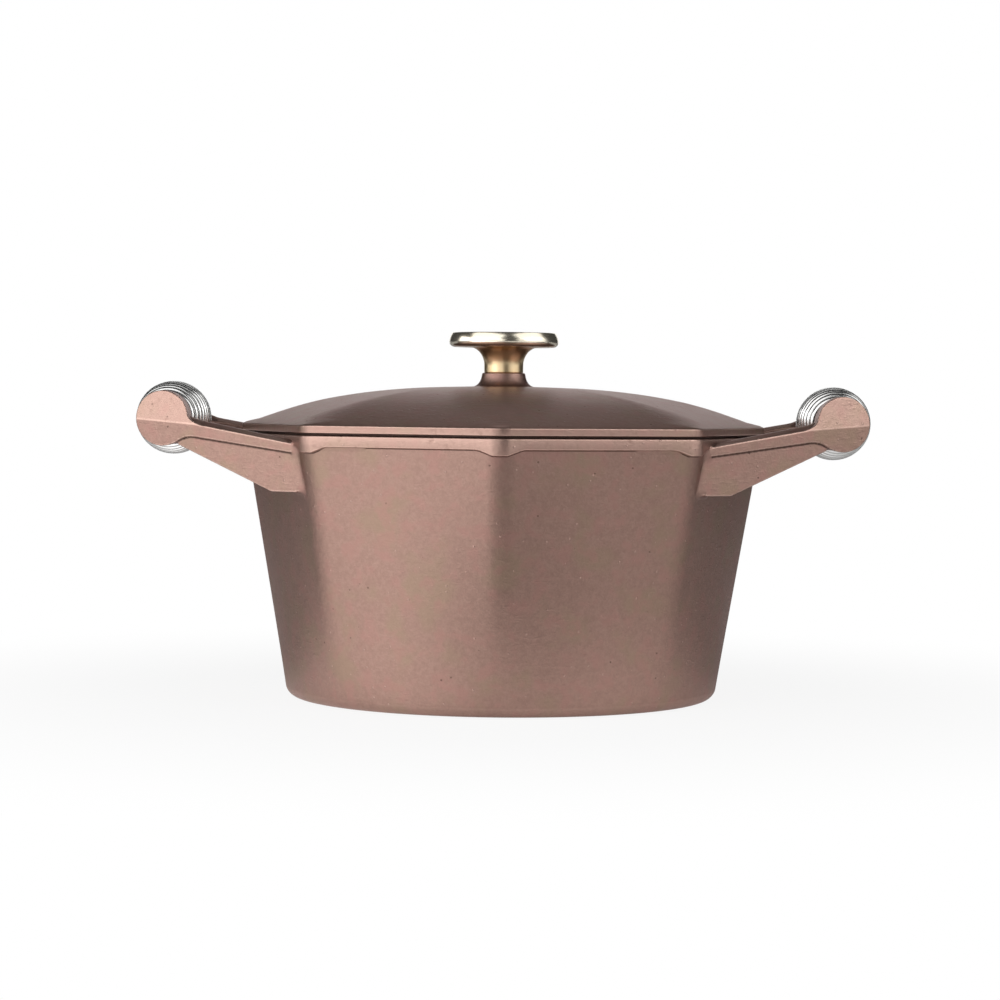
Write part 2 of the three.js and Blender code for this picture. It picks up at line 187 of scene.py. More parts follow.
def castIron(name, look):
    material, shader, place = newFinish(name)
    grain = place.noise(look["grainScale"], 2.0, 0.6)
    pebbles = place.noise(look["pebbleScale"])
    mottle = place.noise(look["mottleScale"])
    clouds = place.noise(look["cloudScale"])
    pitted = 1 - place.cells(look["pitScale"]).between(0.06, 0.15)
    pitted = pitted * place.cells(look["pitScale"], 1).part("X").between(0.88, 0.92)      # a few cells only
    specked = 1 - place.cells(look["speckScale"]).between(0.07, 0.20)
    specked = specked * place.cells(look["speckScale"], 1).part("Y").between(0.80, 0.86)
    flowing = place.node("ShaderNodeMapping", {}, {"Vector": place, "Scale": look["markStretch"]})
    marks = flowing.noise(look["markScale"]).between(0.52, 0.80)
    tone = (grain * 0.45 + pebbles * 0.37 + mottle * 0.18).between(0.34, 0.66)
    base = tone.node("ShaderNodeValToRGB", {"stops": [(0.0, look["dark"]), (0.5, look["middle"]),
                                                      (1.0, look["light"])]}, {"Fac": tone})
    base = (clouds.between(0.48, 0.66) * 0.50).blend(base, look["olive"])
    base = (mottle.between(0.48, 0.68) * 0.50).blend(base, look["pink"])
    base = (specked * 0.55).blend(base, look["speck"])
    base = (pitted * 0.60).blend(base, look["pit"])
    edge = place.node("ShaderNodeAttribute", {"attribute_name": "edge"}, {}, 2)
    # outer edges lighter, broken up by noise: painted highlight and wear
    wearAndHighlight = edge.between(0.25, 0.95) * (pebbles * 0.6 + mottle * 0.4).between(0.20, 0.46)
    # hollow corners darker and rougher: painted shade
    paintedShade = (edge * -1).between(0.20, 0.90)
    base = (wearAndHighlight * 0.75).blend(base, look["wearAndHighlight"])
    base = (paintedShade * 0.85).blend(base, look["paintedShade"])
    feed(shader, "Base Color", base)
    feed(shader, "Roughness", (grain - 0.5) * 0.12 + (mottle - 0.5) * 0.08 + (pitted + paintedShade) * 0.22
         - wearAndHighlight * 0.06 + look["roughness"])
    height = grain * 0.65 + pebbles * 0.85 + marks * 0.55 + specked * 1.4 - pitted * 1.2
    metal(shader, height, 1.0, look["bumpDepth"])
    shader.inputs["Specular Tint"].default_value = look["grazing"]
    return material


brassLook = {
    "warm": colour(0.730, 0.545, 0.310),    # in the hollow of the neck
    "pale": colour(0.930, 0.870, 0.730),    # on the rim, where hands polish it
    "roughness": 0.17,
    "lineScale": 5200,                      # turning lines
    "hazeScale": 70,
    "polish": (0.013, 0.026),               # metres from the axis, from dull to bright
    "bumpDepth": 0.00002,
}


def polishedBrass(name, look):
    material, shader, place = newFinish(name)
    across = place.part("X")
    along = place.part("Y")
    radius = (across * across + along * along) ** 0.5
    turning = place.node("ShaderNodeCombineXYZ", {}, {0: radius, 1: place.part("Z")})
    lines = turning.noise(look["lineScale"], 2.0, 0.6)
    haze = place.noise(look["hazeScale"], 3.0, 0.6)
    polished = radius.between(*look["polish"]) * 0.8 + haze.between(0.30, 0.72) * 0.2
    feed(shader, "Base Color", polished.blend(look["warm"], look["pale"]))
    dull = (1 - polished) * 0.11
    feed(shader, "Roughness", haze * 0.10 + lines * 0.06 + dull + look["roughness"] - 0.06)
    metal(shader, lines, 0.35, look["bumpDepth"])
    return material


def steel(name, tone, roughness, drawScale):
    material, shader, place = newFinish(name)
    draw = place.noise(drawScale, 3.0, 0.6)
    haze = place.noise(120, 3.0, 0.6)
    low = colour(tone * 0.86, tone * 0.85, tone * 0.83)
    high = colour(tone * 1.06, tone * 1.06, tone * 1.05)
    feed(shader, "Base Color", (draw * 0.5 + haze * 0.5).between(0.3, 0.7).blend(low, high))
    feed(shader, "Roughness", draw * 0.12 + haze * 0.10 + roughness - 0.11)
    metal(shader, draw, 0.3, 0.00003)
    return material


finishes = {
    "pot": castIron("pot_iron", ironLook),
    "lid": castIron("lid_iron", ironLook),
    "brass": polishedBrass("knob_brass", brassLook),
    "wire": steel("coil_steel", 0.76, 0.20, 2600),
    "bar": steel("bar_steel", 0.22, 0.42, 1200),
    "screw": steel("screw_steel", 0.55, 0.30, 1800),
}
print("finishes made:", ", ".join(finishes))


def addPiece(name, shape, finish, body, nodes=(), sharp=38):
    if isinstance(shape, bmesh.types.BMesh):
        mesh = bpy.data.meshes.new(name)
        shape.to_mesh(mesh)
        shape.free()
    else:
        mesh = shape
    mesh.name = name
    mesh.shade_smooth()
    mesh.set_sharp_from_angle(angle=math.radians(sharp))
    mesh.materials.clear()
    mesh.materials.append(finishes[finish])
    piece = bpy.data.objects.new(name, mesh)
    bpy.context.scene.collection.objects.link(piece)
    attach(piece, body)
    if nodes:
        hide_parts(*nodes)
    print("piece", name, len(mesh.polygons), "faces")
    return piece


sharpTurn = 0.32                            # radians between two faces that count as a full edge


def markEdges(bm, blurs=0):                 # 1 along outer edges, -1 in hollow corners, for the iron's painted highlights and wear on the edges and its painted shade in the hollows
    layer = bm.verts.layers.float.new("edge")
    for vert in bm.verts:
        turns = [edge.calc_face_angle_signed(0.0) for edge in vert.link_edges if edge.is_manifold]
        vert[layer] = max(-1.0, min(1.0, max(turns, key=abs, default=0.0) / sharpTurn))
    for turn in range(blurs):
        means = []
        for vert in bm.verts:
            near = [edge.other_vert(vert)[layer] for edge in vert.link_edges]
            means.append((vert[layer] + sum(near)) / (1 + len(near)))
        for vert, mean in zip(bm.verts, means):
            vert[layer] = mean
    return bm


# rings of the octagon: a station from 0 to 8 runs once round, corner to corner
ringSettings = {"perSide": 48, "cornerShare": 0.4, "dipCore": 3.5, "dipReach": 11.0}


def ringPlace(station, ring):
    side = math.floor(station)
    part = station - side
    aim = side * 2 * halfSide
    flat, corner = ring["flat"], ring["corner"]
    centre = (flat - corner) / math.cos(halfSide)
    share = ringSettings["cornerShare"]

    def onCorner(aim, turn):
        return Vector((centre * math.cos(aim) + corner * math.cos(aim + turn),
                       centre * math.sin(aim) + corner * math.sin(aim + turn), 0.0))

    if part < share:
        swing = 2 * part / share - 1
        place = onCorner(aim, swing * halfSide)
        away = corner * halfSide * abs(swing)
    else:
        along = (part - share) / (1 - share)
        along = along * along * (3 - 2 * along)
        start = onCorner(aim, halfSide)
        end = onCorner(aim + 2 * halfSide, -halfSide)
        place = start.lerp(end, along)
        away = corner * halfSide + (end - start).length * min(along, 1 - along)
    slope = (ringSettings["dipReach"] - away) / (ringSettings["dipReach"] - ringSettings["dipCore"])
    drop = ring.get("dip", 0.0) * min(1.0, max(0.0, slope))
    if "radius" in ring:                    # wall: straight down to a circle, point by point
        height = ring["height"] - drop
        place = place.normalized().lerp(place / ring["radius"], height / pot["height"]) * ring["radius"]
    place.z = ring["height"] - drop
    return place


def growLoop(bm, loop):                     # a new loop of edges, joined by faces to the old one
    grown = bmesh.ops.extrude_edge_only(bm, edges=loop)["geom"]
    verts = [part for part in grown if isinstance(part, bmesh.types.BMVert)]
    chosen = set(verts)
    return verts, [part for part in grown if isinstance(part, bmesh.types.BMEdge)
                   and part.verts[0] in chosen and part.verts[1] in chosen]


def octagonSkin(rings, closed=False):       # rings in millimetres
    bm = bmesh.new()
    layer = bm.verts.layers.float.new("station")
    count = 8 * ringSettings["perSide"]
    verts = bmesh.ops.create_circle(bm, segments=count, radius=1.0)["verts"]
    for index, vert in enumerate(verts):
        vert[layer] = 8 * index / count
    firstLoop = list(bm.edges)
    loop = firstLoop
    firstVerts = verts
    for step, ring in enumerate(rings):
        if step:
            verts, loop = growLoop(bm, loop)
        for vert in verts:
            vert.co = ringPlace(vert[layer], ring) * mm
    if closed:
        bmesh.ops.bridge_loops(bm, edges=firstLoop + loop)
    else:
        for ends in (firstVerts, verts):
            middle = sum((vert.co for vert in ends), Vector()) / len(ends)
            bmesh.ops.pointmerge(bm, verts=ends, merge_co=middle)
    bmesh.ops.recalc_face_normals(bm, faces=bm.faces)
    return bm


def octagon(flat, corner, height, dip=0.0):
    return {"flat": flat, "corner": corner, "height": height, "dip": dip}


def circle(radius, height):                 # the octagon's rings made round
    return octagon(radius, radius * 0.985, height)


def arc(start, end, steps):                 # angles in degrees, as radians
    return [math.radians(start + (end - start) * step / steps) for step in range(steps + 1)]


def mixed(low, high, share):
    return low + (high - low) * share


# pot body
pot = {
    "acrossCorners": 261.3,
    "height": 129.6,
    "baseRadius": 106.0,
    "baseEdge": 4.9,
    "wall": 5.0,
    "floor": 6.0,
    "floorEdge": 12.0,
    "corner": 18.0,                         # body corners just below the band
    "bandHeight": 5.7,
    "bandProud": 0.8,
    "bandCorner": 13.0,
    "bandDip": 2.7,                         # the band hangs lower at the corners
    "bandEdge": 0.5,
    "rimEdge": 0.9,                         # rounding of the rim's outer edge
    "rimInnerEdge": 1.4,
}
rimFlat = pot["acrossCorners"] / 2 * math.cos(halfSide)
bandFoot = pot["height"] - pot["bandHeight"]


def wallRing(height, inset=0.0, dip=0.0):
    return {"flat": rimFlat - pot["bandProud"] - inset, "corner": pot["corner"] - inset, "height": height,
            "dip": dip, "radius": pot["baseRadius"] - inset}


def wallFlat(height):                       # from the axis to the middle of a side
    return mixed(pot["baseRadius"], rimFlat - pot["bandProud"], height / pot["height"])


def footRings(inset, edge, floor, steps):   # flat floor, then the rounded edge into the wall
    rings = [circle(radius, floor) for radius in (6.0, 30.0, 60.0)]
    for angle in arc(0, 86, steps):
        height = floor + edge * (1 - math.cos(angle))
        rings.append(wallRing(height, inset + edge * (1 - math.sin(angle))))
    return rings


def potRings():
    wallStart = pot["baseEdge"] + 1
    wallEnd = bandFoot - pot["bandDip"] - 2
    outer = footRings(0.0, pot["baseEdge"], 0.0, 10)
    outer += [wallRing(mixed(wallStart, wallEnd, step / 18)) for step in range(19)]
    outer.append(wallRing(bandFoot - 0.35, 0.0, pot["bandDip"]))
    outer.append(wallRing(bandFoot, 0.0, pot["bandDip"]))
    edge = pot["bandEdge"]
    for angle in arc(-60, 0, 3):            # soft lower edge of the band
        outer.append(octagon(rimFlat - edge * (1 - math.cos(angle)), pot["bandCorner"],
                             bandFoot + 0.9 + edge * math.sin(angle), pot["bandDip"]))
    edge = pot["rimEdge"]
    for angle in arc(0, 90, 4):
        inset = edge * (1 - math.cos(angle))
        outer.append(octagon(rimFlat - inset, pot["bandCorner"] - inset,
                             pot["height"] - edge * (1 - math.sin(angle))))
    edge = pot["rimInnerEdge"]
    inner = []
    for angle in arc(90, 0, 4):
        inset = pot["wall"] - edge * (1 - math.cos(angle))
        inner.append(wallRing(pot["height"] - edge * (1 - math.sin(angle)), inset))
    innerEnd = pot["floor"] + pot["floorEdge"] + 1
    inner += [wallRing(mixed(pot["height"] - 4, innerEnd, step / 10), pot["wall"]) for step in range(11)]
    inner += reversed(footRings(pot["wall"], pot["floorEdge"], pot["floor"], 8))
    return outer + inner


potSkin = markEdges(octagonSkin(potRings()))
addPiece("pot_body", potSkin, "pot", "pot", ["pot_casting"], sharp=50)


# arms, cast with the pot: made once at +X +Y, then mirrored
coilLow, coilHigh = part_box("right_grip_coil")
gripCentre = (coilLow + coilHigh) / 2 / mm
arm = {
    "endRadius": 13.4,
    "endFace": 43.5,                        # from the middle plane to the outer face, at the grip axis
    "endThickness": 10.5,
    "endLean": 9.0,                         # degrees, the face above the crease
    "creaseDrop": 1.4,
    "slope": math.tan(math.radians(28.5)),
    "thickness": 10.0,
    "crown": 2.2,
    "rootDrop": 4.3,
    "rootHeight": 4.1,
    "neckDrop": 2.7,
    "neckHeight": 6.0,
    "neckBack": 16.7,
    "gussetThickness": 8.0,
    "gussetDepth": 18.6,
    "gussetFoot": 11.4,
    "rootSink": 4.7,                        # into the wall, which leans in by this share further down
    "rootLean": 0.24,
    "webShift": (-1.0, -7.5, 0.0),
    "patchInset": 0.16,                     # of the slab under the skin, which the fillets rise from
    "patchThickness": 3.0,
    "patchStations": (0.78, 1.62),
    "patchHeights": (94.0, 128.0),
    "voxel": 0.39,
    "softening": 3,
    "rootFillet": 80,                       # smoothing rounds where the arm leaves the wall
    "rootZone": (-1.5, 2.2),                # in and out from the wall's skin, as far as the fillet reaches
}
# lighter crease and upper disc: painted light with wear; darker inner side: painted shade
armWearAndLight = {
    "depth": 1.2,                           # in from the outer face
    "width": 0.75,                          # of the lighter line along the crease, painted highlight and wear
    "above": 0.4,
    # the disc's upper half painted lighter, as where light falls from above
    "disc": 0.58,
    # painted shade on the arm's inner side
    "paintedInnerShade": -0.55,
}
armLength = (gripCentre.x * math.cos(halfSide) + arm["endFace"] * math.sin(halfSide) - rimFlat) / (
    math.cos(halfSide) - arm["slope"] * math.sin(halfSide))
rootTop = pot["height"] - arm["rootDrop"]
neckTop = gripCentre.z - arm["neckDrop"]
armAcross = Vector((-arm["slope"], -1.0, 0.0)).normalized()
armBack = Vector((-1.0, arm["slope"], 0.0))
wallFacing = Vector((math.cos(halfSide), math.sin(halfSide), 0))
rootSkew = armAcross.dot(wallFacing) / armBack.dot(wallFacing)   # the arm meets the wall at an angle


def creaseHeight(back):
    slope = (arm["neckDrop"] - arm["creaseDrop"]) / arm["neckBack"]
    return gripCentre.z - arm["creaseDrop"] - slope * back


def armPlace(back, inset, height):          # back from the grip axis, inset from the outer face
    face = Vector((gripCentre.x - back, arm["endFace"] + arm["slope"] * back, height))
    return face + armAcross * inset


def armBar(bm):
    axis = gripCentre.z
    slope = (neckTop - rootTop) / (armLength - arm["neckBack"])
    sunkTop = rootTop - slope * arm["rootSink"]
    stations = [                            # back, lower edge, crown
        (1.3, axis - 12.6, 4.6),
        (4.5, axis - 12.3, 4.6),
        (6.5, axis - 11.8, 4.6),
        (8.2, axis - 10.7, 4.6),
        (10.3, axis - 9.5, 4.2),
        (12.4, axis - 8.85, 3.4),
        (14.5, axis - 8.65, 2.6),
    ]
    stations = [(back, low, creaseHeight(back), crown) for back, low, crown in stations]
    stations += [
        (arm["neckBack"], neckTop - arm["neckHeight"], neckTop, arm["crown"]),
        (armLength, rootTop - arm["rootHeight"], rootTop, arm["crown"]),
        (armLength + arm["rootSink"], sunkTop - arm["rootHeight"], sunkTop, arm["crown"]),
    ]
    # share of the thickness, then 0 at the lower edge, 1 at the upper edge and 2 at the crown's top
    outline = [(0.0, 0.0), (1.0, 0.0), (1.0, 1.0), (0.8, 1.48), (0.62, 1.86), (0.5, 1.94), (0.38, 1.86),
               (0.2, 1.48), (0.0, 1.0)]
    verts = bmesh.ops.create_circle(bm, segments=len(outline), radius=1.0)["verts"]
    loop = list({edge for vert in verts for edge in vert.link_edges})
    layer = bm.verts.layers.int["corner"]
    for index, vert in enumerate(verts):
        vert[layer] = index
    caps = [verts]
    for step, (back, low, top, crown) in enumerate(stations):
        if step:
            verts, loop = growLoop(bm, loop)
        for vert in verts:
            share, level = outline[vert[layer]]
            height = mixed(low, top, level) if level <= 1 else top + crown * (level - 1)
            inset = share * arm["thickness"]
            skew = rootSkew * inset if back >= armLength else 0
            vert.co = armPlace(back - skew, inset, height) * mm
    caps.append(verts)
    for ends in caps:
        bmesh.ops.contextual_create(bm, geom=ends)


def gusset(bm):
    radius = arm["endRadius"]
    foot = rootTop - arm["rootHeight"] - arm["gussetDepth"]
    inset = (arm["thickness"] - arm["gussetThickness"]) / 2
    outline = [
        (0.6 * radius, gripCentre.z - 0.95 * radius),
        (0.3 * radius, gripCentre.z),
        (arm["neckBack"], neckTop - arm["neckHeight"] + 2),
        (armLength, rootTop - arm["rootHeight"] + 2),
        (armLength + arm["rootSink"], rootTop - arm["rootHeight"]),
        (armLength + arm["rootSink"] + arm["rootLean"] * arm["gussetDepth"], foot),
        (armLength - arm["gussetFoot"], foot),
    ]
    corners = [bm.verts.new(armPlace(back, inset, height) * mm) for back, height in outline]
    side = bm.faces.new(corners)
    grown = bmesh.ops.extrude_face_region(bm, geom=[side], use_keep_orig=True)["geom"]
    moved = [part for part in grown if isinstance(part, bmesh.types.BMVert)]
    bmesh.ops.translate(bm, verts=moved, vec=armAcross * arm["gussetThickness"] * mm)
    rooted = [vert for vert in moved if vert.co.x / mm < armPlace(armLength - 2, 0, 0).x - inset]
    bmesh.ops.translate(bm, verts=rooted, vec=armBack * -rootSkew * arm["gussetThickness"] * mm)


def armEnd(bm):                             # drum on the grip axis, its outer face in line with the arm's
    radius = arm["endRadius"] * mm
    depth = arm["endThickness"] * mm
    middle = Vector((gripCentre.x * mm, arm["endFace"] * mm - depth / 2, gripCentre.z * mm))
    stand = Matrix.Translation(middle) @ Matrix.Rotation(math.pi / 2, 4, "X")
    verts = bmesh.ops.create_cone(bm, cap_ends=True, segments=96, radius1=radius, radius2=radius,
                                  depth=depth, matrix=stand)["verts"]
    geom = list(verts)
    geom += list({edge for vert in verts for edge in vert.link_edges})
    geom += list({face for vert in verts for face in vert.link_faces})
    creaseSlope = (creaseHeight(1) - creaseHeight(0))
    cut = bmesh.ops.bisect_plane(bm, geom=geom, plane_co=(gripCentre.x * mm, 0, creaseHeight(0) * mm),
                                 plane_no=(creaseSlope, 0, 1))["geom"]
    for vert in {part for part in cut if isinstance(part, bmesh.types.BMVert)}:
        if vert.co.y > middle.y:
            back = gripCentre.x - vert.co.x / mm
            rise = max(vert.co.z / mm - creaseHeight(back), 0)
            vert.co.y += (arm["slope"] * back - rise * math.tan(math.radians(arm["endLean"]))) * mm


def neckWeb(bm):                            # hollow curve from the drum down to the arm's upper edge
    lean = math.tan(math.radians(arm["endLean"]))
    outline = [(6.0, -4.0), (6.0, 10.4), (9.0, 8.2), (10.6, 5.8), (11.8, 3.6), (13.0, 1.7), (14.2, 0.1),
               (15.6, -1.2), (17.4, -2.1), (20.0, -3.0), (20.0, -5.0)]
    corners = []
    for back, rise in outline:
        height = gripCentre.z + rise
        lift = max(height - creaseHeight(back), 0)
        corners.append(bm.verts.new((armPlace(back, 0, height) - Vector((0, lift * lean, 0))) * mm))
    side = bm.faces.new(corners)
    grown = bmesh.ops.extrude_face_region(bm, geom=[side], use_keep_orig=True)["geom"]
    moved = [part for part in grown if isinstance(part, bmesh.types.BMVert)]
    bmesh.ops.translate(bm, verts=moved, vec=Vector(arm["webShift"]) * mm)


def wallPatch(bm):                          # slab under the pot's skin, which the arm flows out of
    verts = bmesh.ops.create_grid(bm, x_segments=30, y_segments=30, size=0.5)["verts"]
    for vert in verts:
        station = mixed(*arm["patchStations"], vert.co.x + 0.5)
        height = mixed(*arm["patchHeights"], vert.co.y + 0.5)
        ring = wallRing(height, arm["patchInset"])
        if height > bandFoot:
            ring = octagon(rimFlat - arm["patchInset"], pot["bandCorner"], height)
        vert.co = ringPlace(station, ring) * mm
    faces = list({face for vert in verts for face in vert.link_faces})
    bmesh.ops.recalc_face_normals(bm, faces=faces)
    bmesh.ops.solidify(bm, geom=faces, thickness=arm["patchThickness"] * mm)


def wallGap(place):                         # from the wall's skin outwards, near the corner under the arm
    flat = wallFlat(place.z)
    rounding = mixed(pot["baseRadius"], pot["corner"], place.z / pot["height"])
    reach = (flat - rounding) / math.cos(halfSide)
    away = Vector((place.x - reach * math.sqrt(0.5), place.y - reach * math.sqrt(0.5), 0))
    if halfSide < math.atan2(away.y, away.x) < 3 * halfSide:
        return away.length - rounding
    return max(place.dot(wallFacing), place.x * wallFacing.y + place.y * wallFacing.x) - flat


def upperEdge(back):
    if back < arm["neckBack"]:
        return creaseHeight(back)
    return mixed(neckTop, rootTop, (back - arm["neckBack"]) / (armLength - arm["neckBack"]))


def armWearAndPaintedLight(bm):                            # lighter along the outer crease and on the disc's upper half (painted highlight, painted light and wear), darker on the inner side (painted shade)
    layer = bm.verts.layers.float["edge"]
    bm.normal_update()
    for vert in bm.verts:
        back = gripCentre.x - vert.co.x / mm
        inset = arm["endFace"] + arm["slope"] * back - vert.co.y / mm
        above = vert.co.z / mm - upperEdge(back)
        if inset < armWearAndLight["depth"] and back < armLength - 1:
            vert[layer] = max(vert[layer], 1.15 - abs(above) / armWearAndLight["width"])
        if back < arm["neckBack"] and above > armWearAndLight["above"] and inset < 1.0 + 0.2 * above:
            vert[layer] = max(vert[layer], armWearAndLight["disc"])
        if vert.normal.dot(armAcross) > 0.6:
            vert[layer] = min(vert[layer], armWearAndLight["paintedInnerShade"])
    return bm


def castArm():
    bm = bmesh.new()
    bm.verts.layers.int.new("corner")
    armBar(bm)
    gusset(bm)
    armEnd(bm)
    neckWeb(bm)
    wallPatch(bm)
    bmesh.ops.recalc_face_normals(bm, faces=bm.faces)
    mesh = bpy.data.meshes.new("rough_arm")
    bm.to_mesh(mesh)
    bm.free()
    rough = bpy.data.objects.new("rough_arm", mesh)
    bpy.context.scene.collection.objects.link(rough)
    remesh = rough.modifiers.new("cast", "REMESH")
    remesh.mode = "VOXEL"
    remesh.voxel_size = arm["voxel"] * mm
    soften = rough.modifiers.new("soften", "SMOOTH")
    soften.factor = 0.5
    soften.iterations = arm["softening"]
    graph = bpy.context.evaluated_depsgraph_get()
    done = bpy.data.meshes.new_from_object(rough.evaluated_get(graph))
    bpy.data.objects.remove(rough)
    bm = bmesh.new()
    bm.from_mesh(done)
    inside, outside = arm["rootZone"]
    near = [vert for vert in bm.verts if inside < wallGap(vert.co / mm) < outside]
    for turn in range(arm["rootFillet"]):
        bmesh.ops.smooth_vert(bm, verts=near, factor=0.5, use_axis_x=True, use_axis_y=True, use_axis_z=True)
    armWearAndPaintedLight(markEdges(bm, 2)).to_mesh(done)
    bm.free()
    return done


armMesh = castArm()
for sideName, mirrorX in (("right", 1), ("left", -1)):
    for endName, mirrorY in (("back", 1), ("front", -1)):
        bm = bmesh.new()
        bm.from_mesh(armMesh)
        bmesh.ops.scale(bm, vec=(mirrorX, mirrorY, 1), verts=bm.verts)
        bmesh.ops.recalc_face_normals(bm, faces=bm.faces)
        addPiece(f"pot_arm_{sideName}_{endName}", bm, "pot", "pot", sharp=60)


# grip bars and coils
grip = {
    "wire": 3.2,
    "turns": 12,
    "middleRadius": 18.1,
    "towardsPot": 0.65,                     # the coil hangs this much nearer to the pot than its bar
    "endRadius": 13.0,
    "bend": 2.2,
    "reach": 33.0,                          # from the middle to the arm end's inner face
    "gap": 0.3,
    "barRadius": 8.58,
    "barReach": 35.7,
    "stepsPerTurn": 48,
}


def coilPath():
    wire = grip["wire"] / 2
    reach = grip["reach"] - grip["gap"] - grip["wire"] - grip["bend"]
    steps = grip["turns"] * grip["stepsPerTurn"]
    path = []
    for step in range(steps + 1):
        along = 2 * step / steps - 1
        radius = mixed(grip["middleRadius"] - wire, grip["endRadius"] - wire, along * along)
        angle = 2 * math.pi * step / grip["stepsPerTurn"] - math.pi / 2
        path.append(Vector((radius * math.cos(angle), along * reach, radius * math.sin(angle))))

    def tang(point, direction):             # bend from the last turn into the straight end
        outward = Vector((point.x, 0, point.z)).normalized()
        around = Vector((-outward.z, 0, outward.x)) * direction
        axis = Vector((0, direction, 0))
        spots = []
        for angle in arc(12, 90, 7):
            swing = around * grip["bend"] * math.sin(angle)
            spots.append(point + swing + axis * grip["bend"] * (1 - math.cos(angle)))
        spots.append(spots[-1] + axis * grip["wire"])
        return spots

    return list(reversed(tang(path[0], -1))) + path + tang(path[-1], 1)


def coilMesh(centre, turned):
    curve = bpy.data.curves.new("coil_path", "CURVE")
    curve.dimensions = "3D"
    curve.bevel_depth = grip["wire"] / 2 * mm
    curve.bevel_resolution = 5
    curve.use_fill_caps = True
    path = coilPath()
    spline = curve.splines.new("POLY")
    spline.points.add(len(path) - 1)
    for spot, point in zip(spline.points, path):
        place = Vector((-point.x, -point.y, point.z)) if turned else point
        spot.co = ((place + centre) * mm).to_4d()
    holder = bpy.data.objects.new("coil_path", curve)
    bpy.context.scene.collection.objects.link(holder)
    graph = bpy.context.evaluated_depsgraph_get()
    mesh = bpy.data.meshes.new_from_object(holder.evaluated_get(graph))
    bpy.data.objects.remove(holder)
    return mesh


def barShape(centre):
    bm = bmesh.new()
    stand = Matrix.Translation(centre * mm) @ Matrix.Rotation(math.pi / 2, 4, "X")
    bmesh.ops.create_cone(bm, cap_ends=True, segments=64, radius1=grip["barRadius"] * mm,
                          radius2=grip["barRadius"] * mm, depth=2 * grip["barReach"] * mm, matrix=stand)
    rims = [edge for edge in bm.edges if len(edge.link_faces) == 2
            and any(len(face.verts) > 4 for face in edge.link_faces)]
    bmesh.ops.bevel(bm, geom=rims, offset=0.6 * mm, segments=3, profile=0.5, affect="EDGES", material=-1)
    return bm


for sideName, mirrorX in (("right", 1), ("left", -1)):
    centre = Vector((mirrorX * gripCentre.x, 0, gripCentre.z))
    coilCentre = centre - Vector((mirrorX * grip["towardsPot"], 0, 0))
    addPiece(f"{sideName}_coil", coilMesh(coilCentre, mirrorX < 0), "wire", "pot",
             [f"{sideName}_grip_coil"], sharp=60)
    addPiece(f"{sideName}_bar", barShape(centre), "bar", "pot", [f"{sideName}_grip_bar"])


# lid
lid = {
    "seatGap": 0.3,
    "shadowGap": 1.05,
    "relief": 2.0,
    "edgeHeight": 3.55,
    "crownRise": 19.2,
    "domePower": 2.7,
    "thickness": 5.0,
    "lipDepth": 4.0,
    "lipThickness": 4.0,
    "lipClearance": 1.3,
    "bossHeight": 6.8,
    "bossRadius": 10.7,
    "bossFoot": 14.5,
    "hole": 3.3,
    "padDepth": 1.0,
    "padRadius": 10.5,
    "edgeRound": 0.8,
    "edgeLowRound": 0.6,
    "ridge": 13.0,                          # rounding of the ridges between the facets
    "ridgeEnd": 27.0,                       # more of it, close to the edge
    "ridgeStart": 84.0,                     # from the axis, where that begins
    "ridgeReach": 24.0,
}
edgeBottom = pot["height"] + lid["shadowGap"]
edgeTop = edgeBottom + lid["edgeHeight"]
crownTop = edgeTop + lid["crownRise"]
bossTop = crownTop + lid["bossHeight"]
padHeight = crownTop - lid["thickness"] - lid["padDepth"]


def domeHeight(flat):
    return crownTop - lid["crownRise"] * (flat / rimFlat) ** lid["domePower"]


def domeRing(flat, drop=0.0):
    nearEdge = min(1.0, max(0.0, flat - lid["ridgeStart"]) / lid["ridgeReach"])
    ridge = lid["ridge"] * flat / rimFlat + lid["ridgeEnd"] * nearEdge
    return octagon(flat, max(ridge, 0.4), domeHeight(flat) - drop)


